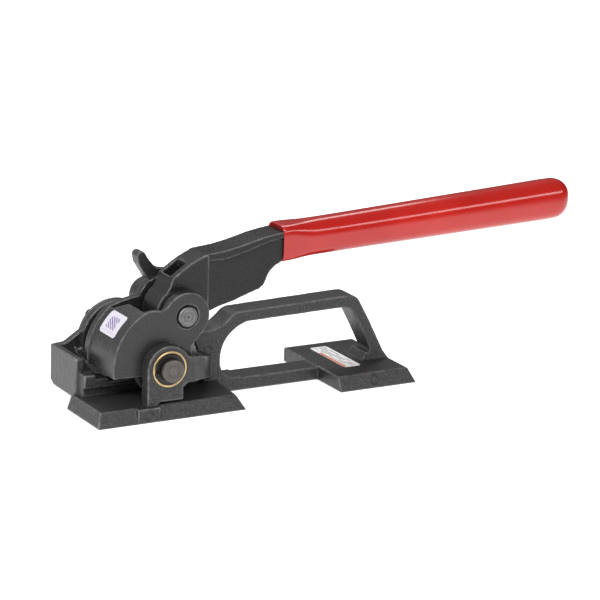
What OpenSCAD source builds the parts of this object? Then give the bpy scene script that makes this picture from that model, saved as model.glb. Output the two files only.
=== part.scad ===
// Hand-held feed-wheel tensioner for steel strap.
// X runs along the tool from the nose to the grip, Y across it from the
// front bearing to the gear case, Z up. The origin is on the sole plane,
// below the rocker pivot axis, in the middle of the strap path.
// Depth values named *_d are measured back from the face of the front
// bearing lug; slab() turns them into Y.

/* [Rocker pivot] */
// height of the rocker pivot axis above the sole
pivot_z = 43.7; // [40:0.1:48]
// offset of the feed wheel axis from the pivot axis
eccentric = 6; // [3:0.5:8]
// radius of the pivot shaft journals
journal_r = 10.5; // [8:0.5:12]
// radius of the eccentric part of the pivot shaft
ecc_r = 17; // [16.6:0.1:19]

/* [Drive] */
// teeth on the large gear
gear_teeth = 37; // [30:1:44]
// teeth on the pinion
pinion_teeth = 11; // [11:1:14]
// gear module
gear_module = 1.8; // [1.5:0.05:2]
// height of the drive shaft above the feed wheel axis
drive_rise = 39.8; // [38:0.01:42]
// radius of the drive shaft
drive_r = 9; // [7:0.5:9]
// teeth on the ratchet wheel in the handle head
ratchet_teeth = 30; // [24:1:36]
// teeth on the holding ratchet
hold_teeth = 20; // [16:1:24]

/* [Feed wheel] */
// outside radius of the feed wheel
wheel_r = 29.8; // [26:0.1:30]
// number of serrations on the feed wheel
wheel_teeth = 60; // [40:1:80]

/* [Base] */
// thickness of both feet
foot_t = 12.7; // [10:0.1:16]
// depth of the front face of the hand frame behind the lug face
frame_d = 45; // [40:1:50]
// depth of the back face of the hand frame
frame_back_d = 69; // [62:1:72]
// thickness of the front bearing lug
lug_t = 12; // [10:0.5:12]

/* [Handle] */
// outside radius of the barrel of the handle head
head_r = 22; // [20:0.5:22]
// depth of the front face of the handle head
head_front_d = 27; // [26.7:0.1:28]
// depth of the back face of the handle head
head_back_d = 55; // [53:0.5:56]
// width of the ratchet slot in the handle head
slot_w = 16; // [16:0.5:18]
// thickness of the grip sleeve
grip_wall = 3.5; // [2:0.25:5]

/* [Rocker] */
// outside radius of the drum cover about the feed wheel axis
drum_r = 52.3; // [50:0.1:54]
// thickness of the drum cover
drum_t = 4.8; // [3:0.2:6]

/* [Show] */
// which piece to show

/* [Hidden] */
$fn = 64;
off = 29;                         // lug face to the middle of the strap path
A = [0, pivot_z];
B = [eccentric, pivot_z];
cd = gear_module*(gear_teeth+pinion_teeth)/2;
C = [B[0]+sqrt(cd*cd-drive_rise*drive_rise), pivot_z+drive_rise];
P = [44.9, 77.6];                 // thumb lever pin
Q = [39.9, 102.6];                // drive pawl pin
mid_d = head_front_d+16;          // middle of the grip
slot_a = 42.3-slot_w/2;           // front and back walls of the ratchet slot
slot_b = 42.3+slot_w/2;
line_a = atan2(C[1]-B[1], C[0]-B[0]);
wall_in_x = -54;

// ---------- helpers ----------
module slab(d0,d1) translate([0,d1-off,0]) rotate([90,0,0]) linear_extrude(d1-d0) children();
module at(p) translate([p[0],p[1]]) children();
module rod(p,r,d0,d1,n=64) translate([p[0],d0-off,p[1]]) rotate([-90,0,0]) cylinder(r=r,h=d1-d0,$fn=n);
module tube(p,ro,ri,d0,d1,n=64) difference(){ rod(p,ro,d0,d1,n); rod(p,ri,d0-1,d1+1,n); }
function arc(p,r,a0,a1,n=24) = [for(i=[0:n]) let(a=a0+(a1-a0)*i/n) [p[0]+r*cos(a), p[1]+r*sin(a)]];
// block with its own bottom and top rectangles: [x0,x1,d0,d1]
module wedge(b,t,z0,z1) intersection(){
  slab(b[2]-1,b[3]+1) polygon([[b[0],z0],[b[1],z0],[t[1],z1],[t[0],z1]]);
  xslab(b[0]-1,b[1]+1) polygon([[b[2],z0],[b[3],z0],[t[3],z1],[t[2],z1]]);
}
module box(x0,x1,d0,d1,z0,z1) translate([x0,d0-off,z0]) cube([x1-x0,d1-d0,z1-z0]);
module bar2(p,q,r1,r2) hull(){ at(p) circle(r1,$fn=32); at(q) circle(r2,$fn=32); }

// involute gear outline, tooth centred on angle 0
function inv(a) = tan(a)*180/PI - a;
function flank(r,rp,pa,half) = let(rb=rp*cos(pa), rr=max(r,rb), al=acos(min(1,rb/rr)))
   half + inv(pa) - inv(al);
function gear_pts(n,m,pa=25,lash=0.16) = let(rp=n*m/2, ra=rp+m, rf=rp-1.25*m, rb=rp*cos(pa),
   half=(PI*m/2-lash)/(2*rp)*180/PI,
   rs=[rf, max(rb,rf)+0.02, (max(rb,rf)*2+ra)/3, (max(rb,rf)+ra*2)/3, ra])
   [for(k=[0:n-1]) let(c=k*360/n) each concat(
      [for(i=[0:4]) let(f=flank(rs[i],rp,pa,half)) [rs[i]*cos(c-f), rs[i]*sin(c-f)]],
      [for(i=[4:-1:0]) let(f=flank(rs[i],rp,pa,half)) [rs[i]*cos(c+f), rs[i]*sin(c+f)]])];
// ratchet outline: steep faces look counter-clockwise seen from the front
function ratchet_pts(n,rc,rr) = let(s=360/n) [for(k=[0:n-1]) let(c=k*s) each [
   [rc*cos(c-0.2*s), rc*sin(c-0.2*s)], [rc*cos(c), rc*sin(c)], [rr*cos(c), rr*sin(c)]]];
function pol(p,r,a) = [p[0]+r*cos(a), p[1]+r*sin(a)];
module xslab(x0,x1) translate([x0,-off,0]) rotate([90,0,90]) linear_extrude(x1-x0) children();
module turn(p,a) translate([p[0],0,p[1]]) rotate([0,-a,0]) translate([-p[0],0,-p[1]]) children();
// rounded rectangle section across the grip, at x, centred on height z
module section(x,w,h,r,t=0.05) translate([x,mid_d-off,gz(x)]) rotate([90,0,90])
   linear_extrude(t) offset(r,$fn=32) square([w-2*r,h-2*r],center=true);
function gz(x) = 132.6+0.0416*(x-146);
module coil(p,r,w,d0,d1,turns) for(k=[0:turns-1]) translate([p[0],d0-off+w+(d1-d0-2*w)*(turns>1?k/(turns-1):0),p[1]])
   rotate([-90,0,0]) rotate_extrude($fn=40) translate([r,0]) circle(w,$fn=14);

// ---------- base ----------
module ring_mark(p,d,r=3.9) tube(p,r,r-0.6,d-0.35,d+0.4,32);
module gusset() intersection(){
  translate([0,-off,0]) linear_extrude(60) polygon([[10,0],[18,0],[25,1.5],[30,4],[36,9],[42,15],[50,27],[62.5,45],[66,45],[66,58],[50.9,58],[49.5,46],[37,28],[36.8,12],[10,12]]);
  slab(-1,60) polygon([[10,29.4],[18,29.4],[30,28.7],[36,27.3],[42,25.3],[50,21.4],[62,15],[67,13],[67,35],[62,35.4],[50,41.6],[42,45.7],[36,48.3],[30,50.3],[18,52.4],[10,52]]);
}
module frame_outline() polygon(concat(
  [[56,4],[56,13],[53,30],[51.7,38.5],[49.2,45.8],[46.8,52.5],[46.5,56.5],[48,57.4],[54.6,57.8],[59.6,58],[65.7,58.4],[72.5,60.4],[78.7,65.2],[83,69.4],[88,71.6],[110,72.1],[150,73.0],[196,74.2]],
  arc([199.6,61.8],12.3,84,29,10),
  [[220.8,49.2],[236.1,19.6],[238.5,12.5],[238.5,4]]));
module frame_opening() polygon(concat(
  [[97.5,61.9],[89.7,58.9],[85,55.8],[81.2,52.7],[78.4,49.4],[76.1,46.1],[74.6,42.6],[73.4,39.2],[72.7,35.6],[72.3,32.1],[72.3,28.5],[72.7,24.8],[74,21],[76.1,18],[79,15.2],[82.5,13.3],[87,12.1],[92,12]],
  [[214,12],[220,12.8],[222.6,15],[222.4,23.1],[212.4,42.8],[204.6,57.4],[201.5,61],[196.5,63.2],[190,63.6]]));
module post_foot() intersection(){
  slab(40,72) polygon([[214,foot_t-0.3],[241,foot_t-0.3],[237,foot_t+5.5],[218,foot_t+7]]);
  xslab(210,245) polygon([[43.6,foot_t-0.3],[71,foot_t-0.3],[69,foot_t+7],[45,foot_t+7]]);
}
module base_frame() color([0.13,0.13,0.14]) difference(){
  union(){
    intersection(){ wedge([-68.2,90,-5,58],[-63.5,90,1.5,58],0,foot_t);
      translate([72,-5-off,0]) rotate([0,0,-5.1]) rotate([90,0,0]) translate([0,0,-100]) linear_extrude(140) polygon([[-200,-1],[0.62,-1],[-8.71,14],[-200,14]]); }
    box(-31,-10,-5,6,0,foot_t);
    // strap fence
    box(-58,40,47,59,foot_t-0.2,22.1);
    box(-58,-48,43,59,20.8,32);
    box(-48.1,-36,43,59,20.8,28.3);
    box(-36.1,40,43,59,20.8,25);
    // nose: gear case walls
    xslab(-60.5,wall_in_x) polygon(concat([[55.4,6],[64,8.4],[99,8.4]],arc([99,16.9],8.5,-90,0,8),[[107.5,42],[105.5,44],[56.4,44],[55.4,43]]));
    slab(100,107.5) polygon([[-60.5,12],[-56.9,8.4],[52,8.4],[52,74],[-5,74],[-22.7,62],[-46.5,46.3],[-49,45],[-60.5,44]]);
    rod(A,34.5,99,107.5);
    box(44,52,57,107.5,8.4,58);
    // pad under the rocker spring
    box(-58,-38,58,69,8.4,15);
    // front bearing lug and arm
    slab(0,lug_t) union(){ at(A) circle(20);
      polygon([[-20,pivot_z],[-20,14],[-9.5,14],[-9.5,15.3],[13.7,15.3],[13.7,29.5],[20,pivot_z]]); }
    gusset();
    // hand frame
    difference(){ slab(frame_d,frame_back_d) frame_outline(); slab(frame_d-1,frame_back_d+1) frame_opening(); }
    box(48,74,50,frame_back_d,0,14);
    box(92,238,frame_d,frame_back_d,0.3,12);
    box(66,93,frame_d,frame_back_d,0.3,13);
    // rear foot
    wedge([170,246.8,4,108],[170,240.8,10,108],0,foot_t);
    post_foot();
    ring_mark([60,40.4],frame_d);
    ring_mark([-20.4,5.9],-5);
    translate([205,7-off,foot_t/2]) rotate([90-25.3,0,0]) difference(){ cylinder(r=3.9,h=0.75,center=true,$fn=32); cylinder(r=3.3,h=2,center=true,$fn=32); }
  }
  rod(A,13.02,-3,lug_t+1);
  rod(A,24.5,98,108);
  // room for the feed wheel and its hub
  rod(B,30.6,lug_t+0.4,27.2);
  rod(B,21.7,27,60.5);
  for(a=[45:90:359]) rod(pol(A,29.4,a),2.5,99,108,32);
  // plug pocket and cross pin
  box(-7,19,15,40,foot_t-5,foot_t+2);
  translate([6,27.5-off,-1]) cylinder(r=1.5,h=12,$fn=24);
  box(52.1,60,59,frame_back_d+0.1,14,60);
}
module front_bushing() color([0.78,0.6,0.28]) difference(){
  union(){ rod(A,13,-0.5,lug_t+0.25); rod(A,15.8,-1.2,0); }
  rod(A,journal_r+0.05,-4,lug_t+1);
}
module rear_cap() color([0.15,0.15,0.16]) difference(){
  union(){ rod(A,34,107.5,110.5); rod(A,24.4,96.5,107.6); }
  rod(A,13.52,95,112);
  for(a=[45:90:359]) rod(pol(A,29.4,a),2.75,106,112,32);
}
module rear_bushing() color([0.78,0.6,0.28]) tube(A,13.5,journal_r+0.05,96.5,110.5);
module cap_screws() color([0.35,0.35,0.37]) for(a=[45:90:359]) difference(){
  union(){ rod(pol(A,29.4,a),2.48,100.5,110.6,32); rod(pol(A,29.4,a),4.4,110.52,113,32); }
  slab(111.3,114) at(pol(A,29.4,a)) circle(1.5,$fn=6);
}
module gripper_plug() color([0.4,0.4,0.42]) difference(){
  union(){ box(-6.95,18.95,15.05,39.95,foot_t-4.95,foot_t+0.2);
    for(i=[0:11]) slab(15.05,39.95) polygon([[-6.6+2.1*i,foot_t+0.19],[-4.6+2.1*i,foot_t+0.19],[-4.8+2.1*i,foot_t+0.9]]); }
  translate([6,27.5-off,5]) cylinder(r=1.5,h=4.8,$fn=24);
}
module gripper_pin() color([0.5,0.5,0.52]) translate([6,27.5-off,0.4]) cylinder(r=1.48,h=9.2,$fn=24);
module foot_label() color([0.9,0.9,0.9]) box(189.5,206.5,33,96,foot_t,foot_t+0.25);
module rocker_spring() color([0.6,0.6,0.62]) for(k=[0:6]) translate([-44.5,63.5-off,15.8+k*3.05]) rotate_extrude($fn=36) translate([3.1,0]) circle(0.75,$fn=12);

// ---------- rocker ----------
module front_outline() union(){
  polygon(concat([[-12,35.7]],arc(B,drum_r,188.3,115.7,40),
    [[-11.5,92],[-6.5,92.1],[-3,91.2],[-0.7,91.1],[3.1,93.3],[6.9,97.7],C,[39.4,73],[37.2,68.5],[31,61.5],[26.5,56.5],[20,43]]));
  at(B) circle(23.2); at(C) circle(20.8);
}
module rear_outline() union(){
  polygon(concat([[-12,38]],arc(B,53.8,186,128,28),
    [[-23.3,87.2],[-17.6,89],[-10,90.6],[-4.5,91.6],[1.5,92.3],[3.2,95.5],[6.3,101.3],[9.8,105.4],C,P,[47,71.5],[36,60],[28,48],[20,40]]));
  at(B) circle(26); at(C) circle(24); at(P) circle(7.5);
}
module feed_frame() color([0.14,0.14,0.15]) difference(){
  union(){
    slab(lug_t+0.4,17.4) front_outline();
    slab(17.3,24.5) difference(){ at(C) circle(20); at(B) circle(30.8); }
    // drum cover
    intersection(){
      slab(lug_t+0.4,67) polygon(concat(arc(B,drum_r,188.3,115.7,48),arc(B,drum_r-drum_t,115.7,188.9,48)));
      translate([0,-off,0]) linear_extrude(110) polygon([[-60,12],[-13,12],[-13,44],[-16.7,46],[-21,50.5],[-25.6,57],[-25.6,67.1],[-60,67.1]]);
    }
    slab(60,67) rear_outline();
    // notched tab at the foot of the rear rim
    slab(72,76) polygon([[-53.1,49.6],[-50.8,46.7],[-46.8,48.2],[-45.6,45],[-43.3,43.6],[-41.5,41.2],[-44.4,37.2],[-52.4,44.2]]);
    slab(66.5,76) polygon([[-46.8,46],[-45.6,45],[-43.3,43.6],[-41.5,41.2],[-43.6,38.4],[-46.8,41]]);
    // guard beside the pinion
    slab(66.9,94) polygon(concat(arc(C,15.8,185,96,22),arc(C,14.2,96,185,22)));
    // spring seat
    slab(60,67) polygon([[-49,39.5],[-49,37.4],[-40,37.4],[-38,42]]);
  }
  rod(B,ecc_r+0.02,12,18);
  rod(B,21.08,58,69);
  rod(C,10.42,12,15.5);
  rod(C,11.02,15,27.5);
  rod(C,11.02,59,68);
  rod(P,3.01,59,68,32);
  // keyway over the eccentric
  box(B[0]-2.02,B[0]+2.02,12,18,B[1]+15,B[1]+18.8);
}
module pivot_shaft() color([0.3,0.3,0.32]) difference(){
  union(){
    translate([A[0],-8-off,A[1]]) rotate([-90,0,0]) cylinder(r1=journal_r-0.8,r2=journal_r,h=0.8);
    rod(A,journal_r,-7.25,lug_t+0.5);
    rod(B,ecc_r,lug_t+0.4,96); rod(A,journal_r,95.9,112.8);
  }
  tube(A,journal_r+1,journal_r-0.8,-2.7,-1.4);
  tube(A,journal_r+1,journal_r-0.8,111,112.2);
  box(B[0]-2,B[0]+2,lug_t,17.4,B[1]+15.2,B[1]+18);
}
module shaft_key() color([0.45,0.45,0.47]) box(B[0]-1.98,B[0]+1.98,lug_t+0.5,17.35,B[1]+15.25,B[1]+18.75);
module ring2d(ri,ro,gap,e=1.75) union(){ difference(){ circle(ro); circle(ri); polygon([[0,0],[-30,30*tan(gap)],[-30,-30*tan(gap)]]); }
  for(s=[-1,1]) difference(){ rotate(180-s*(gap+7)) translate([ro-0.6,0]) circle(e,$fn=24); rotate(180-s*(gap+7)) translate([ro-0.6,0]) circle(0.46*e,$fn=16); circle(ri);} }
module retaining_ring() color([0.2,0.2,0.21]) slab(-2.6,-1.5) at(A) ring2d(journal_r-0.75,journal_r+2.7,12,2.5);
module rear_ring() color([0.2,0.2,0.21]) slab(111.05,112.15) at(A) ring2d(journal_r-0.75,journal_r+1.9,9);
module lever_pin() color([0.5,0.5,0.52]) union(){ rod(P,3,60,79.1,32); rod(P,4.6,79,80.4,32); }
module lever_spring() color([0.6,0.6,0.62]) coil(P,4,0.55,75.2,78.9,3);
module drum_label() color([0.92,0.92,0.94]) slab(25,53.5) polygon(concat(arc(B,drum_r+0.28,152.5,128.5,16),arc(B,drum_r+0.03,128.5,152.5,16)));
module drive_bushing() color([0.72,0.55,0.26]) union(){ tube(C,11,drive_r+0.06,15.02,24.5); tube(C,11,drive_r+0.06,60,67.2); }

// ---------- feed unit, turning on the eccentric ----------
module feed_wheel() color([0.45,0.45,0.47]) difference(){
  slab(17.8,26.2) at(B) polygon([for(k=[0:wheel_teeth-1]) let(s=360/wheel_teeth) each
    [pol([0,0],wheel_r-1,k*s),pol([0,0],wheel_r,k*s+0.45*s),pol([0,0],wheel_r,k*s+0.6*s)]]);
  rod(B,21.03,17,28);
  turn(B,0) box(B[0]-2.02,B[0]+2.02,17,28,B[1]+20,B[1]+23.2);
}
module feed_hub() color([0.35,0.35,0.37]) difference(){
  rod(B,21,17.7,92.9);
  rod(B,ecc_r+0.06,17,94);
  box(B[0]-2,B[0]+2,17,26.6,B[1]+19.2,B[1]+22);
  box(B[0]-2,B[0]+2,77,94,B[1]+19.2,B[1]+22);
}
module main_gear() color([0.42,0.42,0.44]) difference(){
  slab(77,92.9) at(B) rotate(line_a) polygon(gear_pts(gear_teeth,gear_module));
  rod(B,21.03,76,94);
  box(B[0]-2.02,B[0]+2.02,76,94,B[1]+20,B[1]+23.2);
}
module gear_key() color([0.5,0.5,0.52]) { box(B[0]-1.98,B[0]+1.98,17.9,26.5,B[1]+19.3,B[1]+23.1);
  box(B[0]-1.98,B[0]+1.98,77.1,92.8,B[1]+19.3,B[1]+23.1); }

// ---------- drive shaft unit ----------
module drive_shaft() color([0.62,0.62,0.64]) difference(){
  union(){
    translate([C[0],11-off,C[1]]) rotate([-90,0,0]) cylinder(r1=drive_r-0.8,r2=drive_r,h=0.8);
    rod(C,drive_r,11.75,75.7); rod(C,5,75.6,96);
  }
  tube(C,6,4.5,93.2,94.4);
  box(C[0]-1.5,C[0]+1.5,35,49.6,C[1]+7.4,C[1]+9.6);
  box(C[0]-1.5,C[0]+1.5,68,75.8,C[1]+7.4,C[1]+9.6);
  box(C[0]-1,C[0]+1,77.5,92.5,C[1]+4,C[1]+6);
}
module ratchet_wheel() color([0.42,0.42,0.44]) difference(){
  slab(34.8,49.8) at(C) polygon(ratchet_pts(ratchet_teeth,16,14));
  rod(C,drive_r+0.02,34,52);
  box(C[0]-1.52,C[0]+1.52,34,52,C[1]+7,C[1]+10.2);
}
module pinion() color([0.45,0.45,0.47]) difference(){
  slab(77,92.9) at(C) rotate(line_a+180+180/pinion_teeth) polygon(gear_pts(pinion_teeth,gear_module));
  rod(C,5.02,76,94);
  box(C[0]-1.02,C[0]+1.02,76,94,C[1]+4,C[1]+6.2);
}
module holding_ratchet() color([0.42,0.42,0.44]) difference(){
  slab(67.5,75.5) at(C) polygon(ratchet_pts(hold_teeth,13.5,11.4));
  rod(C,drive_r+0.02,67,76);
  box(C[0]-1.52,C[0]+1.52,67,76,C[1]+7,C[1]+10.2);
}
module drive_key() color([0.5,0.5,0.52]) { box(C[0]-1.48,C[0]+1.48,35.05,49.55,C[1]+7.45,C[1]+10.1);
  box(C[0]-1.48,C[0]+1.48,68.05,75.4,C[1]+7.45,C[1]+10.1);
  box(C[0]-0.98,C[0]+0.98,77.55,92.45,C[1]+4.05,C[1]+6.1); }
module drive_ring() color([0.2,0.2,0.21]) slab(93.25,94.35) at(C) ring2d(4.55,6.6,12);

// ---------- handle ----------
top_line = [[45,130],[49,130.9],[54,131.3],[66,132.3],[78,134.4],[89.5,137],[101,139.9],[113,141.9],[122,143],[130,143.6]];
flange_low = [[45,124.9],[54,124.6],[65.4,124.5],[77,127.1],[90.2,130.3],[106.9,135.5],[113,136.6],[122,137.8],[130,138.4]];
belly = [[130,119.5],[124,117.2],[116.5,112.8],[112.4,108.4],[110.3,104],[108.6,99.6],[106.4,95.8],[102.5,93],[96,90.8],[81,85],[64,80.8],[56,78],[50,74.8],[45,72.5]];
module head_outline() polygon(concat(arc(C,head_r,125,312,48),
  [[44,71.4],[50,74.8],[50,131.1],[47,131],[41,128.9],[33,125.1],[25,120.3],[17.6,115],[16,113.9],[14.3,110.5],[13.2,106.5]]));
thick = [[44,16],[47,16],[47.8,12],[49.4,9.2],[52,7.4],[56,6.3],[62,5.8],[75,5.8],[88,6.5],[100,7.8],[110,9.3],[120,11.2],[131,13]];
module handle_lever() color([0.13,0.13,0.14]) difference(){
  union(){
    slab(head_front_d,head_back_d) head_outline();
    intersection(){
      union(){ slab(head_front_d,head_back_d) polygon(concat(top_line,belly)); slab(head_back_d-0.1,59) intersection(){ polygon(concat(top_line,belly)); translate([100,60]) square([60,100]); } }
      translate([0,mid_d-off,60]) linear_extrude(100) polygon(concat([for(p=thick) [p[0],-p[1]]],[for(i=[len(thick)-1:-1:0]) [thick[i][0],thick[i][1]]]));
    }
    // top flange
    slab(29,57) polygon(concat(top_line,[for(i=[len(flange_low)-1:-1:0]) flange_low[i]]));
    // core inside the grip sleeve
    hull(){ section(118,22,19,3); section(408,24,24,6); }
  }
  rod(C,11.52,26,60);
  // ratchet and pawl room, open below and at the top window
  slab(slot_a,slot_b) union(){
    at(C) circle(17.2);
    polygon([[9.5,84],[9.5,56],[41,56],[41,72],[40,84]]);
    polygon([[13.4,91.6],[17.2,108],[17.2,135],[31.5,135],[32,117],[47.5,111],[47.5,86],[40,82]]);
  }
  rod(Q,2.51,29.5,60,32);
  // the core under the sleeve is an I section
  for(k=[-1,1]) intersection(){ hull(){ section(136,40,9.5,1.5); section(392,40,13,1.5); }
    box(130,400,k>0?mid_d+4.5:20,k>0?70:mid_d-4.5,100,180); }
}
module handle_bushings() color([0.72,0.55,0.26]) { tube(C,11.5,drive_r+0.06,head_front_d,slot_a); tube(C,11.5,drive_r+0.06,slot_b,head_back_d); }
module pawl_pin() color([0.5,0.5,0.52]) rod(Q,2.5,29.6,54.6,32);
module pawl_spring() color([0.6,0.6,0.62]) coil(Q,3.4,0.5,48.1,50.2,2);
module grip_outer() union(){
  hull(){ section(122.5,29.5,32,6.5); section(152,29,32.2,11); }
  hull(){ section(151.9,29,32.2,11); section(404,31.5,37,14.5); section(412,29.5,34.8,14); section(417.2,26,30.8,12.9); section(420.6,20,24,9.9); section(422,11,14,5.4); }
}
module grip_sleeve() color([0.75,0.12,0.09]) difference(){
  grip_outer();
  hull(){ section(117,22.1,19.1,3); section(408.1,24.1,24.1,6); }
  // mouth fits over the flange end of the casting
  intersection(){ slab(28.9,57.1) polygon(concat([for(p=top_line) [p[0],p[1]+0.05]],[for(i=[len(flange_low)-1:-1:0]) [flange_low[i][0],flange_low[i][1]-0.1]])); box(110,130.1,27,60,100,160); }
  intersection(){ slab(head_front_d,59) polygon(concat(top_line,belly));
      translate([0,mid_d-off,60]) linear_extrude(100) polygon([[110,-9.4],[120,-11.3],[131.1,-13.1],[131.1,13.1],[120,11.3],[110,9.4]]); }
}
module thrust_washers() color([0.6,0.6,0.62]) {
  slab(24.55,26.2) difference(){ at(C) circle(21.5); at(C) circle(drive_r+0.1); at(B) circle(30.8); }
  tube(C,14,drive_r+0.1,55.1,59.9); }

// ---------- pawls ----------
module drive_pawl() color([0.4,0.4,0.42]) turn(Q,9) difference(){
  slab(35.5,48) union(){ at(Q) circle(5.2);
    polygon([pol(C,14.3,12.9),pol(C,20.5,12.9),[Q[0]+5.1,Q[1]-1],[Q[0]-4.9,Q[1]+1.2],pol(C,17.1,29),pol(C,16.4,22.6)]); }
  rod(Q,2.55,35,51,32);
}
module lever_arm() union(){ bar2([22,106.6],[16.5,107.7],5.5,5.7); bar2([16.5,107.7],[8,119.5],5.7,4.9); bar2([8,119.5],[6.3,124.2],4.9,4.1); }
module lever_shape() union(){ bar2(P,[41.6,96.4],7,5.2); bar2([41.6,96.4],[29.6,105.8],5.2,5.1); bar2([29.6,105.8],[22,106.8],5.1,5.4); }
module thumb_lever() color([0.13,0.13,0.14]) difference(){
  union(){
    slab(68,75) lever_shape();
    slab(68,80) lever_arm();
    turn(P,-7) slab(68,75) polygon([pol(C,11.75,55.2),pol(C,18.5,55.2),pol(C,18.5,75),pol(C,14.0,69.5)]);
  }
  rod(P,3.06,67,83,32);
}

base_frame();
front_bushing();
rear_cap();
rear_bushing();
cap_screws();
gripper_plug();
gripper_pin();
foot_label();
rocker_spring();
feed_frame();
pivot_shaft();
shaft_key();
retaining_ring();
rear_ring();
lever_pin();
lever_spring();
drum_label();
drive_bushing();
feed_wheel();
feed_hub();
main_gear();
gear_key();
drive_shaft();
ratchet_wheel();
pinion();
holding_ratchet();
drive_key();
drive_ring();
handle_lever();
handle_bushings();
pawl_pin();
pawl_spring();
grip_sleeve();
thrust_washers();
drive_pawl();
thumb_lever();
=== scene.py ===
import bpy, bmesh, math
from mathutils import Vector, Matrix


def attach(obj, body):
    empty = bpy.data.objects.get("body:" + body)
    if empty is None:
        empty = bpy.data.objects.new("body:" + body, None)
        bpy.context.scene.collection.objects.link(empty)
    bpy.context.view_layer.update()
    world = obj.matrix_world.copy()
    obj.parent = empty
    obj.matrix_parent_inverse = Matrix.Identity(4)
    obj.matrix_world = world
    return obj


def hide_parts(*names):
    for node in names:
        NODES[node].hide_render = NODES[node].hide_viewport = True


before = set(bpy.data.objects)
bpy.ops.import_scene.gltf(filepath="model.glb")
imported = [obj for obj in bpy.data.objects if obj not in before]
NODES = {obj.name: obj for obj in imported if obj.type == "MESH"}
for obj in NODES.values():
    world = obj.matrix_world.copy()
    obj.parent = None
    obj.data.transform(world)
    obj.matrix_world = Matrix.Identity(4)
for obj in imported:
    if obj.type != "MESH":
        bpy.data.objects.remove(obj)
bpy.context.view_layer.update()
OFF = 29.0                      # lug face to the middle of the strap path, mm
A = (0.0, 43.7)                 # rocker pivot axis (x, z), mm
B = (6.0, 43.7)                 # feed wheel axis
C = (22.8, 83.5)                # drive shaft axis
P = (44.9, 77.6)                # thumb lever pin
Q = (39.9, 102.6)               # drive pawl pin


def M(x, d, z):
    """A point given in mm, d measured back from the lug face, in metres in the row frame."""
    return Vector((x / 1000, (d - OFF) / 1000, z / 1000))


# ---------------------------------------------------------------- materials
def new_mat(name):
    m = bpy.data.materials.new(name)
    m.use_nodes = True
    nt = m.node_tree
    nt.nodes.clear()
    out = nt.nodes.new("ShaderNodeOutputMaterial")
    bsdf = nt.nodes.new("ShaderNodeBsdfPrincipled")
    nt.links.new(bsdf.outputs[0], out.inputs[0])
    return m, nt, bsdf


def node(nt, kind, **kw):
    n = nt.nodes.new(kind)
    for k, v in kw.items():
        if k.startswith("i_"):
            n.inputs[int(k[2:])].default_value = v
        else:
            setattr(n, k, v)
    return n


def noise(nt, coord, scale, detail=3, rough=0.55):
    n = nt.nodes.new("ShaderNodeTexNoise")
    n.inputs["Scale"].default_value = scale
    n.inputs["Detail"].default_value = detail
    n.inputs["Roughness"].default_value = rough
    nt.links.new(coord, n.inputs["Vector"])
    return n.outputs["Fac"]


def ramp(nt, fac, stops):
    r = nt.nodes.new("ShaderNodeValToRGB")
    while len(r.color_ramp.elements) < len(stops):
        r.color_ramp.elements.new(0.5)
    for e, (pos, col) in zip(r.color_ramp.elements, stops):
        e.position = pos
        e.color = col if len(col) == 4 else (*col, 1)
    nt.links.new(fac, r.inputs[0])
    return r.outputs[0]


def mathn(nt, op, a, b=None, clamp=False):
    n = nt.nodes.new("ShaderNodeMath")
    n.operation = op
    n.use_clamp = clamp
    for i, v in enumerate((a, b)):
        if v is None:
            continue
        if isinstance(v, (int, float)):
            n.inputs[i].default_value = v
        else:
            nt.links.new(v, n.inputs[i])
    return n.outputs[0]


def mix(nt, fac, a, b, blend="MIX"):
    n = nt.nodes.new("ShaderNodeMix")
    n.data_type = "RGBA"
    n.blend_type = blend
    for sock, v in ((n.inputs[0], fac), (n.inputs[6], a), (n.inputs[7], b)):
        if isinstance(v, (int, float)):
            sock.default_value = v
        elif isinstance(v, tuple):
            sock.default_value = v if len(v) == 4 else (*v, 1)
        else:
            nt.links.new(v, sock)
    return n.outputs[2]


def bump(nt, height, strength, dist, normal=None):
    b = nt.nodes.new("ShaderNodeBump")
    b.inputs["Strength"].default_value = strength
    b.inputs["Distance"].default_value = dist
    nt.links.new(height, b.inputs["Height"])
    if normal is not None:
        nt.links.new(normal, b.inputs["Normal"])
    return b.outputs[0]


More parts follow.
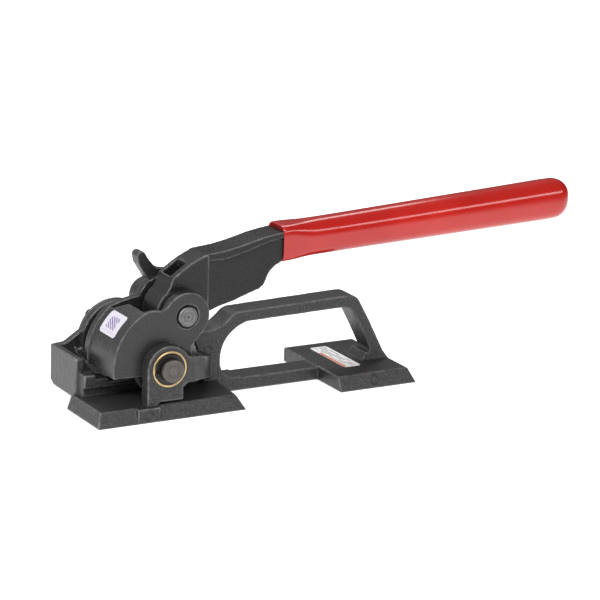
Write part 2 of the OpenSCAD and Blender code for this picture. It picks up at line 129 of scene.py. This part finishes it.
def cast_black(name, base, light, rough, grain=1.0, grain_scale=900, edge=0.9, speck=0.7, gloss=0.4, marks=()):
    m, nt, s = new_mat(name)
    co = nt.nodes.new("ShaderNodeTexCoord").outputs["Object"]
    big = noise(nt, co, 45, 2)
    fine = noise(nt, co, grain_scale, 4, 0.65)
    col = mix(nt, ramp(nt, big, [(0.35, (0, 0, 0)), (0.7, (1, 1, 1))]), base, tuple(c * 1.25 for c in base))
    col = mix(nt, ramp(nt, fine, [(0.46, (0, 0, 0)), (0.64, (speck, speck, speck))]), col, light)
    geo = nt.nodes.new("ShaderNodeNewGeometry")
    # convex edges painted lighter grey: partly wear broken up by noise, partly painted highlight along the cast edges
    edges = ramp(nt, geo.outputs["Pointiness"], [(0.506, (0, 0, 0)), (0.545, (edge, edge, edge))])
    wear_and_edge_highlight = mathn(nt, "MULTIPLY", edges, ramp(nt, noise(nt, co, 220, 3), [(0.35, (0.25, 0.25, 0.25)), (0.65, (1, 1, 1))]))
    col = mix(nt, wear_and_edge_highlight, col, (0.16, 0.155, 0.15))
    nt.links.new(col, s.inputs["Base Color"])
    r = mathn(nt, "ADD", rough, mathn(nt, "MULTIPLY", mathn(nt, "SUBTRACT", fine, 0.5), 0.6))
    nt.links.new(r, s.inputs["Roughness"])
    s.inputs["Specular IOR Level"].default_value = gloss
    n1 = bump(nt, fine, 0.75 * grain, 0.00045)
    n2 = bump(nt, noise(nt, co, 200, 3), 0.45 * grain, 0.0012, n1)
    # round pin marks left by the mould: centre x, z and the band of y they lie in, mm
    sep = nt.nodes.new("ShaderNodeSeparateXYZ")
    nt.links.new(co, sep.inputs[0])
    for cx, cz, y0, y1 in marks:
        dx = mathn(nt, "SUBTRACT", sep.outputs[0], cx / 1000)
        dz = mathn(nt, "SUBTRACT", sep.outputs[2], cz / 1000)
        rr = mathn(nt, "SQRT", mathn(nt, "ADD", mathn(nt, "MULTIPLY", dx, dx), mathn(nt, "MULTIPLY", dz, dz)))
        line = mathn(nt, "SUBTRACT", 1.0, mathn(nt, "DIVIDE", mathn(nt, "ABSOLUTE", mathn(nt, "SUBTRACT", rr, 0.0037)), 0.0005), True)
        line = mathn(nt, "MULTIPLY", line, between(nt, sep.outputs[1], y0 / 1000, y1 / 1000))
        n2 = bump(nt, line, 1.0, 0.0006, n2)
    nt.links.new(n2, s.inputs["Normal"])
    return m


def metal(name, base, rough, grain_scale=1500, centre=None, ring=0.0, rim_light_and_shade=None, dark=(0.25, 0.24, 0.22), stain=0.35):
    m, nt, s = new_mat(name)
    co = nt.nodes.new("ShaderNodeTexCoord").outputs["Object"]
    fine = noise(nt, co, grain_scale, 3)
    patch = noise(nt, co, 120, 4, 0.6)
    col = mix(nt, mathn(nt, "MULTIPLY", ramp(nt, patch, [(0.42, (0, 0, 0)), (0.72, (1, 1, 1))]), stain), base, dark)
    nt.links.new(col, s.inputs["Base Color"])
    s.inputs["Metallic"].default_value = 1.0
    r = mathn(nt, "ADD", rough, mathn(nt, "MULTIPLY", mathn(nt, "SUBTRACT", patch, 0.4), 0.4), True)
    nt.links.new(r, s.inputs["Roughness"])
    nrm = bump(nt, fine, 0.15, 0.0001)
    if centre:
        sep = nt.nodes.new("ShaderNodeSeparateXYZ")
        nt.links.new(co, sep.inputs[0])
        dx = mathn(nt, "SUBTRACT", sep.outputs[0], centre[0] / 1000)
        dz = mathn(nt, "SUBTRACT", sep.outputs[2], centre[1] / 1000)
        rr = mathn(nt, "SQRT", mathn(nt, "ADD", mathn(nt, "MULTIPLY", dx, dx), mathn(nt, "MULTIPLY", dz, dz)))
        w = mathn(nt, "SINE", mathn(nt, "MULTIPLY", rr, 2 * math.pi / ring))
        w = mathn(nt, "ADD", w, mathn(nt, "MULTIPLY", patch, 1.5))
        nrm = bump(nt, w, 0.7, 0.00016, nrm)
        # a radial ramp multiplied into the colour: painted rings of shade between brighter bands that stand for
        # highlights on the turned end face
        if rim_light_and_shade:
            shade = ramp(nt, mathn(nt, "DIVIDE", rr, 0.020), rim_light_and_shade)
            nt.links.new(mix(nt, 1.0, col, shade, "MULTIPLY"), s.inputs["Base Color"])
    nt.links.new(nrm, s.inputs["Normal"])
    return m


def vinyl():
    m, nt, s = new_mat("red_vinyl")
    co = nt.nodes.new("ShaderNodeTexCoord").outputs["Object"]
    big = noise(nt, co, 12, 2)
    fine = noise(nt, co, 500, 2)
    col = mix(nt, ramp(nt, big, [(0.3, (0, 0, 0)), (0.75, (1, 1, 1))]), (0.34, 0.010, 0.008), (0.43, 0.017, 0.012))
    col = mix(nt, ramp(nt, noise(nt, co, 260, 4), [(0.60, (0, 0, 0)), (0.78, (0.35, 0.35, 0.35))]), col, (0.40, 0.012, 0.008))
    nt.links.new(col, s.inputs["Base Color"])
    s.inputs["Specular IOR Level"].default_value = 0.35
    r = mathn(nt, "ADD", 0.12, mathn(nt, "MULTIPLY", fine, 0.06))
    nt.links.new(r, s.inputs["Roughness"])
    s.inputs["Coat Weight"].default_value = 0.3
    s.inputs["Coat Roughness"].default_value = 0.08
    s.inputs["Subsurface Weight"].default_value = 0.05
    s.inputs["Subsurface Radius"].default_value = (0.003, 0.0008, 0.0005)
    n1 = bump(nt, noise(nt, co, 28, 2), 0.12, 0.0012)
    nt.links.new(bump(nt, fine, 0.05, 0.0001, n1), s.inputs["Normal"])
    return m


def stripes(nt, v, pitch, duty):
    """1 inside regular bands of a coordinate given in metres."""
    f = mathn(nt, "FRACT", mathn(nt, "DIVIDE", v, pitch))
    return mathn(nt, "LESS_THAN", f, duty)


def between(nt, v, lo, hi):
    return mathn(nt, "MULTIPLY", mathn(nt, "GREATER_THAN", v, lo), mathn(nt, "LESS_THAN", v, hi))


def label_drum():
    """Pale label with a soft lilac hatch and no lettering. u runs round the drum, v along the axis, in metres from the label's middle."""
    m, nt, s = new_mat("drum_label")
    uv = nt.nodes.new("ShaderNodeUVMap")
    uv.uv_map = "lay"
    sep = nt.nodes.new("ShaderNodeSeparateXYZ")
    nt.links.new(uv.outputs[0], sep.inputs[0])
    u, v = sep.outputs[0], sep.outputs[1]
    co = uv.outputs[0]
    dust = noise(nt, co, 350, 4)
    paper = mix(nt, ramp(nt, dust, [(0.4, (0, 0, 0)), (0.8, (0.5, 0.5, 0.5))]), (0.53, 0.51, 0.57), (0.40, 0.38, 0.46))
    diag = mathn(nt, "ADD", mathn(nt, "MULTIPLY", u, 0.8), mathn(nt, "MULTIPLY", v, 0.6))
    hatch = stripes(nt, mathn(nt, "ADD", diag, mathn(nt, "MULTIPLY", dust, 0.0010)), 0.0024, 0.5)
    zone = mathn(nt, "MULTIPLY", between(nt, u, -0.0062, 0.0052), between(nt, v, -0.0075, 0.0078))
    blob = mathn(nt, "GREATER_THAN", noise(nt, co, 190, 1), 0.36)
    ink = mathn(nt, "MULTIPLY", mathn(nt, "MULTIPLY", hatch, zone), blob)
    col = mix(nt, mathn(nt, "MULTIPLY", ink, 0.9), paper, (0.07, 0.03, 0.17))
    foot = mathn(nt, "MULTIPLY", between(nt, u, 0.0072, 0.0082), between(nt, v, -0.0105, 0.0105))
    col = mix(nt, mathn(nt, "MULTIPLY", foot, 0.45), col, (0.28, 0.26, 0.34))
    nt.links.new(col, s.inputs["Base Color"])
    s.inputs["Roughness"].default_value = 0.42
    nt.links.new(bump(nt, dust, 0.1, 0.0001), s.inputs["Normal"])
    return m


def label_foot():
    """White label with plain grey bars and an orange edge band, no lettering."""
    m, nt, s = new_mat("foot_label")
    co = nt.nodes.new("ShaderNodeTexCoord").outputs["Object"]
    sep = nt.nodes.new("ShaderNodeSeparateXYZ")
    nt.links.new(co, sep.inputs[0])
    x, y = sep.outputs[0], sep.outputs[1]
    dust = noise(nt, co, 300, 4)
    col = mix(nt, ramp(nt, dust, [(0.4, (0, 0, 0)), (0.8, (0.35, 0.35, 0.35))]), (0.80, 0.80, 0.80), (0.60, 0.60, 0.59))
    # bars run along the label's length, broken into unequal dashes
    bars = stripes(nt, mathn(nt, "SUBTRACT", x, 0.1935), 0.0024, 0.38)
    gaps = mathn(nt, "GREATER_THAN", noise(nt, mapped(nt, co, (420, 90, 1)), 1.0, 0), 0.42)
    area = mathn(nt, "MULTIPLY", between(nt, x, 0.1938, 0.2052), between(nt, y, 0.0065, 0.0645))
    ink = mathn(nt, "MULTIPLY", mathn(nt, "MULTIPLY", bars, gaps), area)
    col = mix(nt, mathn(nt, "MULTIPLY", ink, 0.85), col, (0.04, 0.04, 0.045))
    band = mathn(nt, "MULTIPLY", between(nt, x, 0.1896, 0.1926), between(nt, y, 0.0050, 0.0500))
    col = mix(nt, mathn(nt, "MULTIPLY", band, 0.92), col, (0.62, 0.17, 0.06))
    nt.links.new(col, s.inputs["Base Color"])
    s.inputs["Roughness"].default_value = 0.45
    nt.links.new(bump(nt, dust, 0.1, 0.0001), s.inputs["Normal"])
    return m


def mapped(nt, co, scale):
    mp = nt.nodes.new("ShaderNodeMapping")
    mp.inputs["Scale"].default_value = scale
    nt.links.new(co, mp.inputs["Vector"])
    return mp.outputs[0]


MAT = {
    "base": cast_black("cast_black_base", (0.012, 0.012, 0.0125), (0.080, 0.078, 0.077), 0.36, grain=0.8, grain_scale=800, speck=0.55, gloss=0.36,
                       marks=((60.0, 40.4, 14.5, 18.0), (-20.4, 5.9, -36.0, -31.5), (205.0, 6.3, -25.5, -18.0))),
    "rocker": cast_black("cast_black_rocker", (0.011, 0.011, 0.0115), (0.050, 0.050, 0.053), 0.31, grain=0.4, grain_scale=900, speck=0.4, gloss=0.38),
    "handle": cast_black("forged_black_handle", (0.009, 0.009, 0.0095), (0.034, 0.034, 0.036), 0.29, grain=0.35, grain_scale=900, speck=0.35, gloss=0.24),
    "lever": cast_black("black_lever", (0.012, 0.012, 0.0125), (0.035, 0.035, 0.036), 0.38, grain=0.7),
    "steel": metal("machined_steel", (0.46, 0.46, 0.47), 0.34),
    "gear": metal("gear_steel", (0.13, 0.13, 0.135), 0.42, dark=(0.05, 0.048, 0.045)),
    "dark": metal("blackened_steel", (0.045, 0.045, 0.047), 0.40, dark=(0.02, 0.02, 0.02)),
    # drive_end and pivot_end: the dark and bright rings on the end faces are painted shade and highlight
    "drive_end": metal("turned_steel_drive", (0.20, 0.20, 0.205), 0.36, centre=C, ring=0.0016, rim_light_and_shade=[(0.0, (0.3, 0.3, 0.3)), (0.06, (0.5, 0.5, 0.5)), (0.09, (0.9, 0.9, 0.9)), (0.22, (0.55, 0.55, 0.55)), (0.26, (0.9, 0.9, 0.9)), (0.38, (0.6, 0.6, 0.6)), (0.42, (1.0, 1.0, 1.0))], dark=(0.07, 0.07, 0.07)),
    "pivot_end": metal("turned_steel_pivot", (0.13, 0.12, 0.11), 0.38, centre=A, ring=0.0019, rim_light_and_shade=[(0.0, (0.5, 0.5, 0.5)), (0.07, (1, 1, 1)), (0.25, (0.7, 0.7, 0.7)), (0.47, (0.9, 0.9, 0.9)), (0.5, (0.5, 0.5, 0.5))], dark=(0.10, 0.095, 0.09)),
    "bronze": metal("golden_bronze", (0.78, 0.56, 0.27), 0.24, dark=(0.50, 0.33, 0.14)),
    # bush_face: the face is dimmed to near black inside its gold outer band as painted shade
    "bush_face": metal("golden_rim", (0.62, 0.46, 0.24), 0.30, centre=A, ring=0.0012, rim_light_and_shade=[(0.0, (0.06, 0.06, 0.06)), (0.695, (0.07, 0.065, 0.06)), (0.715, (1, 1, 1)), (0.78, (0.8, 0.8, 0.8))], dark=(0.40, 0.28, 0.13)),
    "spring": metal("spring_wire", (0.07, 0.07, 0.072), 0.38, dark=(0.03, 0.03, 0.03)),
    "vinyl": vinyl(),
    "drum_label": label_drum(),
    "foot_label": label_foot(),
}


def paint(obj, mat):
    me = obj.data
    me.materials.clear()
    me.materials.append(MAT[mat])
    for p in me.polygons:
        p.material_index = 0


def cast(name, mat, voxel, rounds, factor=0.5):
    """A casting: its CAD shape re-skinned finely and relaxed, so every edge gets a small cast radius."""
    o = NODES[name]
    paint(o, mat)
    w = o.modifiers.new("weld", "WELD")
    w.merge_threshold = 0.000002
    r = o.modifiers.new("skin", "REMESH")
    r.mode = "VOXEL"
    r.voxel_size = voxel
    r.use_smooth_shade = True
    s = o.modifiers.new("relax", "SMOOTH")
    s.factor = factor
    s.iterations = rounds
    return o


def crisp(name, mat, width=0.00025, angle=30):
    """A machined piece: its CAD shape with narrow bevelled edges."""
    o = NODES[name]
    paint(o, mat)
    w = o.modifiers.new("weld", "WELD")
    w.merge_threshold = 0.000002
    b = o.modifiers.new("edge", "BEVEL")
    b.width = width
    b.segments = 2
    b.limit_method = "ANGLE"
    b.angle_limit = math.radians(angle)
    b.use_clamp_overlap = True
    b.harden_normals = True
    return o


def finish_piece(me, name, mat, body, replaces=()):
    o = bpy.data.objects.new(name, me)
    bpy.context.scene.collection.objects.link(o)
    me.materials.append(MAT[mat])
    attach(o, body)
    if replaces:
        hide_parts(*replaces)
    return o


def smooth_by_angle(me, deg=35):
    bm = bmesh.new()
    bm.from_mesh(me)
    lim = math.radians(deg)
    for f in bm.faces:
        f.smooth = True
    for e in bm.edges:
        e.smooth = not (len(e.link_faces) == 2 and e.calc_face_angle(0) > lim)
    bm.to_mesh(me)
    bm.free()


def lathe(profile, centre, segs=96):
    """Closed profile of (radius, depth) points in mm, turned about the axis through centre."""
    me = bpy.data.meshes.new("turned")
    bm = bmesh.new()
    rings = []
    for r, d in profile:
        if r < 1e-6:
            rings.append([bm.verts.new(M(centre[0], d, centre[1]))])
        else:
            rings.append([bm.verts.new(M(centre[0] + r * math.cos(2 * math.pi * k / segs), d, centre[1] + r * math.sin(2 * math.pi * k / segs))) for k in range(segs)])
    closed = profile[0][0] > 1e-6 and profile[-1][0] > 1e-6
    pairs = list(zip(rings, rings[1:])) + ([(rings[-1], rings[0])] if closed else [])
    for a, b in pairs:
        for k in range(segs):
            k2 = (k + 1) % segs
            if len(a) == 1 and len(b) == 1:
                continue
            if len(a) == 1:
                bm.faces.new((a[0], b[k2], b[k]))
            elif len(b) == 1:
                bm.faces.new((a[k], a[k2], b[0]))
            else:
                bm.faces.new((a[k], a[k2], b[k2], b[k]))
    bmesh.ops.recalc_face_normals(bm, faces=bm.faces)
    bm.to_mesh(me)
    bm.free()
    smooth_by_angle(me)
    return me


def round_corner(r0, d0, r1, d1, corner, n=4):
    """Points of a quarter round from (r0,d0) to (r1,d1) about the square corner given."""
    out = []
    for i in range(n + 1):
        t = i / n
        a = (1 - t) ** 2
        b = 2 * t * (1 - t)
        c = t * t
        out.append((a * r0 + b * corner[0] + c * r1, a * d0 + b * corner[1] + c * d1))
    return out


# ---------------------------------------------------------------- castings
cast("base_frame", "base", 0.00075, 4)
cast("feed_frame", "rocker", 0.0006, 4)
cast("handle_lever", "handle", 0.00075, 5)
cast("thumb_lever", "lever", 0.0005, 6)
crisp("rear_cap", "base", 0.0005)

# ---------------------------------------------------------------- machined pieces
for n in ("feed_wheel", "main_gear", "pinion", "ratchet_wheel", "holding_ratchet", "feed_hub", "gripper_plug", "drive_pawl"):
    crisp(n, "gear", 0.00015)
for n in ("gear_key", "drive_key", "shaft_key", "pawl_pin", "lever_pin", "gripper_pin"):
    crisp(n, "steel", 0.0001)
for n in ("retaining_ring", "rear_ring", "drive_ring", "cap_screws", "thrust_washers"):
    crisp(n, "dark", 0.00015)
for n in ("rear_bushing", "handle_bushings"):
    crisp(n, "bronze", 0.0002)
crisp("drive_bushing", "dark", 0.0002)
crisp("pivot_shaft", "pivot_end", 0.0004)
crisp("drive_shaft", "drive_end", 0.0003)

# flanged bushing with a rolled golden flange
prof = []
prof += [(10.62, 12.2), (12.95, 12.2), (12.95, 0.0)]
prof += [(15.7, -0.02)]
prof += round_corner(15.8, -0.2, 15.1, -1.2, (15.8, -1.2), 6)
prof += [(14.0, -1.25), (12.0, -1.2)]
prof += round_corner(11.4, -1.2, 10.62, -0.7, (10.62, -1.2), 4)
me = lathe(prof, A)
finish_piece(me, "front_bushing_turned", "bush_face", "base", ["front_bushing"])

# ---------------------------------------------------------------- springs
def helix(points, radius, name, mat, body, replaces):
    cu = bpy.data.curves.new(name, "CURVE")
    cu.dimensions = "3D"
    cu.bevel_depth = radius
    cu.bevel_resolution = 4
    cu.use_fill_caps = True
    sp = cu.splines.new("POLY")
    sp.points.add(len(points) - 1)
    for q, p in zip(sp.points, points):
        q.co = (*p, 1)
    tmp = bpy.data.objects.new(name + "_c", cu)
    bpy.context.scene.collection.objects.link(tmp)
    bpy.context.view_layer.update()
    me = bpy.data.meshes.new_from_object(tmp.evaluated_get(bpy.context.evaluated_depsgraph_get()))
    bpy.data.objects.remove(tmp)
    for p in me.polygons:
        p.use_smooth = True
    return finish_piece(me, name, mat, body, replaces)


pts = []
n_turn = 5.5
for i in range(int(n_turn * 24) + 1):
    t = i / (n_turn * 24)
    a = 2 * math.pi * n_turn * t
    e = min(1.0, max(0.0, (t * n_turn - 0.8) / (n_turn - 1.6)))
    z = 15.8 + (27.2 - 15.8) * e
    pts.append(M(-44.5 + 3.1 * math.cos(a), 63.5 + 3.1 * math.sin(a), z))
helix(pts, 0.00072, "rocker_spring_coil", "spring", "base", ["rocker_spring"])

pts = [M(P[0] - 9, 75.8, P[1] + 13), M(P[0] - 6.5, 75.75, P[1] + 7)]
for i in range(3 * 24 + 1):
    a = math.radians(150) + 2 * math.pi * i / 24
    pts.append(M(P[0] + 4 * math.cos(a), 75.75 + 2.6 * i / 72, P[1] + 4 * math.sin(a)))
pts += [M(P[0] - 7, 78.3, P[1] - 3), M(P[0] - 11, 77.5, P[1] - 5)]
helix(pts, 0.0005, "lever_spring_coil", "spring", "rocker", ["lever_spring"])

pts = []
for i in range(3 * 24 + 1):
    a = 2 * math.pi * i / 24
    pts.append(M(Q[0] + 3.4 * math.cos(a), 48.6 + 1.1 * i / 72, Q[1] + 3.4 * math.sin(a)))
helix(pts, 0.0004, "pawl_spring_coil", "spring", "handle", ["pawl_spring"])

# ---------------------------------------------------------------- grip sleeve
def gz(x):
    return 132.6 + 0.0416 * (x - 146)


def super_section(w, h, n, k, count=48):
    """One point of a rounded section, w wide and h high; n 2 is an ellipse, larger is boxier."""
    a = 2 * math.pi * k / count
    c, s = math.cos(a), math.sin(a)
    return (w / 2 * math.copysign(abs(c) ** (2 / n), c), h / 2 * math.copysign(abs(s) ** (2 / n), s))


def grip():
    # x, width, height, boxiness, shift of the middle in z
    st = [(124.2, 24.6, 27.4, 5.0, 0.0), (123.0, 27.4, 30.0, 5.0, 0.0), (122.6, 28.8, 31.4, 5.0, 0.0), (123.2, 29.6, 32.0, 5.0, 0.0),
          (125.5, 29.8, 32.2, 5.0, 0.0), (131, 29.6, 32.3, 4.8, 0.0), (137, 29.2, 32.3, 4.2, 0.0), (143, 28.8, 32.3, 3.4, 0.0),
          (149, 28.5, 32.3, 2.9, 0.0), (157, 28.5, 32.5, 2.6, 0.0), (180, 28.8, 32.8, 2.5, 0.0), (220, 29.3, 33.5, 2.45, 0.0),
          (260, 29.8, 34.3, 2.4, 0.0), (300, 30.3, 35.1, 2.4, 0.0), (340, 30.8, 35.8, 2.4, 0.0), (375, 31.2, 36.5, 2.4, 0.0),
          (395, 31.4, 36.9, 2.4, 0.0), (404, 31.2, 36.7, 2.35, 0.0)]
    import math as mm
    for i in range(1, 9):
        t = i / 8
        s = mm.sqrt(max(0.0, 1 - (t * 0.995) ** 2.3))
        st.append((404 + 18 * t, 31.2 * s, 36.7 * s, 2.35, 0.0))
    me = bpy.data.meshes.new("grip")
    bm = bmesh.new()
    rings = []
    cnt = 64
    for x, w, h, n, dz in st:
        ring = []
        for k in range(cnt):
            y, z = super_section(w, h, n, k, cnt)
            ring.append(bm.verts.new(M(x, 43 + y, gz(x) + dz + z)))
        rings.append(ring)
    for a, b in zip(rings, rings[1:]):
        for k in range(cnt):
            bm.faces.new((a[k], a[(k + 1) % cnt], b[(k + 1) % cnt], b[k]))
    tip = bm.verts.new(M(422.05, 43, gz(422)))
    for k in range(cnt):
        bm.faces.new((rings[-1][k], rings[-1][(k + 1) % cnt], tip))
    mouth = bm.verts.new(M(125.5, 43, gz(125)))
    for k in range(cnt):
        bm.faces.new((mouth, rings[0][(k + 1) % cnt], rings[0][k]))
    bmesh.ops.recalc_face_normals(bm, faces=bm.faces)
    for f in bm.faces:
        f.smooth = True
    bm.to_mesh(me)
    bm.free()
    o = finish_piece(me, "grip_dipped", "vinyl", "handle", ["grip_sleeve"])
    return o


grip()

# ---------------------------------------------------------------- labels
def rounded_patch(w, h, r, nu, nv, place, name, mat, body, replaces, thick):
    """A thin rounded rectangle, w by h in mm, laid on a surface by place(u, v, lift)."""
    me = bpy.data.meshes.new(name)
    bm = bmesh.new()
    lay = bm.loops.layers.uv.new("lay")
    rows = {}
    for side in (0, 1):
        for j in range(nv + 1):
            v = -h / 2 + h * j / nv
            over = abs(v) - (h / 2 - r)
            half = w / 2 if over <= 0 else w / 2 - r + math.sqrt(max(0.0, r * r - over * over))
            for i in range(nu + 1):
                u = -half + 2 * half * i / nu
                rows[(side, j, i)] = (bm.verts.new(place(u, v, thick if side else 0.02)), u, v)
    def face(keys):
        vs = [rows[k] for k in keys]
        f = bm.faces.new([q[0] for q in vs])
        f.smooth = True
        for l, q in zip(f.loops, vs):
            l[lay].uv = (q[1] / 1000, q[2] / 1000)
    for j in range(nv):
        for i in range(nu):
            face([(1, j, i), (1, j, i + 1), (1, j + 1, i + 1), (1, j + 1, i)])
            face([(0, j, i), (0, j + 1, i), (0, j + 1, i + 1), (0, j, i + 1)])
    for j in range(nv):
        face([(0, j, 0), (1, j, 0), (1, j + 1, 0), (0, j + 1, 0)])
        face([(0, j, nu), (0, j + 1, nu), (1, j + 1, nu), (1, j, nu)])
    for i in range(nu):
        face([(0, 0, i), (0, 0, i + 1), (1, 0, i + 1), (1, 0, i)])
        face([(0, nv, i), (1, nv, i), (1, nv, i + 1), (0, nv, i + 1)])
    bmesh.ops.remove_doubles(bm, verts=bm.verts, dist=1e-6)
    bmesh.ops.recalc_face_normals(bm, faces=bm.faces)
    bm.to_mesh(me)
    bm.free()
    smooth_by_angle(me, 40)
    return finish_piece(me, name, mat, body, replaces)


def on_drum(u, v, lift):
    a = math.radians(140.5) + u / 52.3
    r = 52.3 + lift
    return M(B[0] + r * math.cos(a), 39.25 + v, B[1] + r * math.sin(a))


rounded_patch(21.6, 28.4, 2.2, 20, 14, on_drum, "drum_label_paper", "drum_label", "rocker", ["drum_label"], 0.22)


def on_foot(u, v, lift):
    return M(198 + u, 64.2 + v, 12.7 + lift)


rounded_patch(17.0, 63.0, 1.2, 8, 24, on_foot, "foot_label_paper", "foot_label", "base", ["foot_label"], 0.22)

# ---------------------------------------------------------------- floor, light, camera
def plane(name, size, z, mat):
    me = bpy.data.meshes.new(name)
    me.from_pydata([(-size, -size, z), (size, -size, z), (size, size, z), (-size, size, z)], [], [(0, 1, 2, 3)])
    o = bpy.data.objects.new(name, me)
    me.materials.append(mat)
    bpy.context.scene.collection.objects.link(o)
    return o


fm, fnt, fs = new_mat("floor")
fs.inputs["Base Color"].default_value = (0.75, 0.75, 0.75, 1)
fs.inputs["Roughness"].default_value = 0.9
fs.inputs["Specular IOR Level"].default_value = 0.1
fs.inputs["Emission Color"].default_value = (1, 1, 1, 1)
# painted light on the paper: emission and base colour are bright round the tool and fall off to the front and the sides
fsep = fnt.nodes.new("ShaderNodeSeparateXYZ")
fnt.links.new(fnt.nodes.new("ShaderNodeTexCoord").outputs["Object"], fsep.inputs[0])
fx = mathn(fnt, "SUBTRACT", fsep.outputs[0], 0.18)
fa = mathn(fnt, "ABSOLUTE", mathn(fnt, "SUBTRACT", mathn(fnt, "MULTIPLY", fx, 0.873), mathn(fnt, "MULTIPLY", fsep.outputs[1], 0.487)))
fb = mathn(fnt, "ADD", mathn(fnt, "MULTIPLY", fx, 0.487), mathn(fnt, "MULTIPLY", fsep.outputs[1], 0.873))
side = mathn(fnt, "SUBTRACT", 1.0, mathn(fnt, "DIVIDE", mathn(fnt, "SUBTRACT", fa, 0.62), 0.45), True)
near = mathn(fnt, "DIVIDE", mathn(fnt, "ADD", fb, 1.0), 0.4, True)
painted_floor_light = mathn(fnt, "ADD", mathn(fnt, "MULTIPLY", mathn(fnt, "MULTIPLY", side, near, True), 0.72), 0.28)
fnt.links.new(mathn(fnt, "MULTIPLY", painted_floor_light, 0.8), fs.inputs["Emission Strength"])
fnt.links.new(ramp(fnt, painted_floor_light, [(0.0, (0.0, 0.0, 0.0)), (1.0, (0.75, 0.75, 0.75))]), fs.inputs["Base Color"])
plane("floor", 6.0, -0.0004, fm)

world = bpy.data.worlds.new("studio")
bpy.context.scene.world = world
world.use_nodes = True
bg = world.node_tree.nodes["Background"]
bg.inputs[0].default_value = (1, 1, 1, 1)
wt = world.node_tree
wdir = wt.nodes.new("ShaderNodeTexCoord").outputs["Generated"]
dot = wt.nodes.new("ShaderNodeVectorMath")
dot.operation = "DOT_PRODUCT"
dot.inputs[1].default_value = (-0.82, 0.30, 0.48)
wt.links.new(wdir, dot.inputs[0])
level = ramp(wt, mathn(wt, "ADD", mathn(wt, "MULTIPLY", dot.outputs["Value"], 0.5), 0.5),
             [(0.25, (0.03, 0.03, 0.03)), (0.5, (0.22, 0.22, 0.22)), (0.72, (0.75, 0.75, 0.75)), (0.95, (1, 1, 1))])
wt.links.new(level, bg.inputs[0])
bg.inputs[1].default_value = 0.7


def area(name, loc, aim, w, h, power):
    l = bpy.data.lights.new(name, "AREA")
    l.shape = "RECTANGLE"
    l.size, l.size_y = w, h
    l.energy = power
    o = bpy.data.objects.new(name, l)
    o.location = loc
    o.rotation_euler = (Vector(aim) - Vector(loc)).to_track_quat("-Z", "Y").to_euler()
    bpy.context.scene.collection.objects.link(o)
    return o


mid = Vector((0.15, 0, 0.06))
area("key_top_front", (-0.35, -1.15, 1.05), mid, 1.5, 0.3, 18)
area("side_left", (-1.35, 0.05, 0.65), mid, 0.5, 0.8, 9)
area("strip_right", (0.95, -1.35, 0.62), Vector((0.2, 0, 0.12)), 1.9, 0.2, 9)
area("back_top", (0.2, 0.95, 1.35), mid, 1.7, 0.5, 12)

cam = bpy.data.cameras.new("camera")
cam.sensor_width = 36.0
cam.lens = 3146.0 / 600.0 * 36.0
cam.clip_start, cam.clip_end = 0.1, 50
co = bpy.data.objects.new("camera", cam)
bpy.context.scene.collection.objects.link(co)
right = Vector((0.87314923, -0.48654611, 0.02972043))
down = Vector((-0.1076139, -0.25187114, -0.96175889))
fwd = Vector((0.47542577, 0.8365607, -0.27228025))
mat = Matrix((
    (right.x, -down.x, -fwd.x, -1.15495351),
    (right.y, -down.y, -fwd.y, -2.2503036 - OFF / 1000),
    (right.z, -down.z, -fwd.z, 0.82263003),
    (0, 0, 0, 1)))
co.matrix_world = mat
bpy.context.scene.camera = co
bpy.context.scene.view_settings.view_transform = "Standard"
bpy.context.scene.view_settings.look = "None"
bpy.context.scene.view_settings.exposure = 0.0
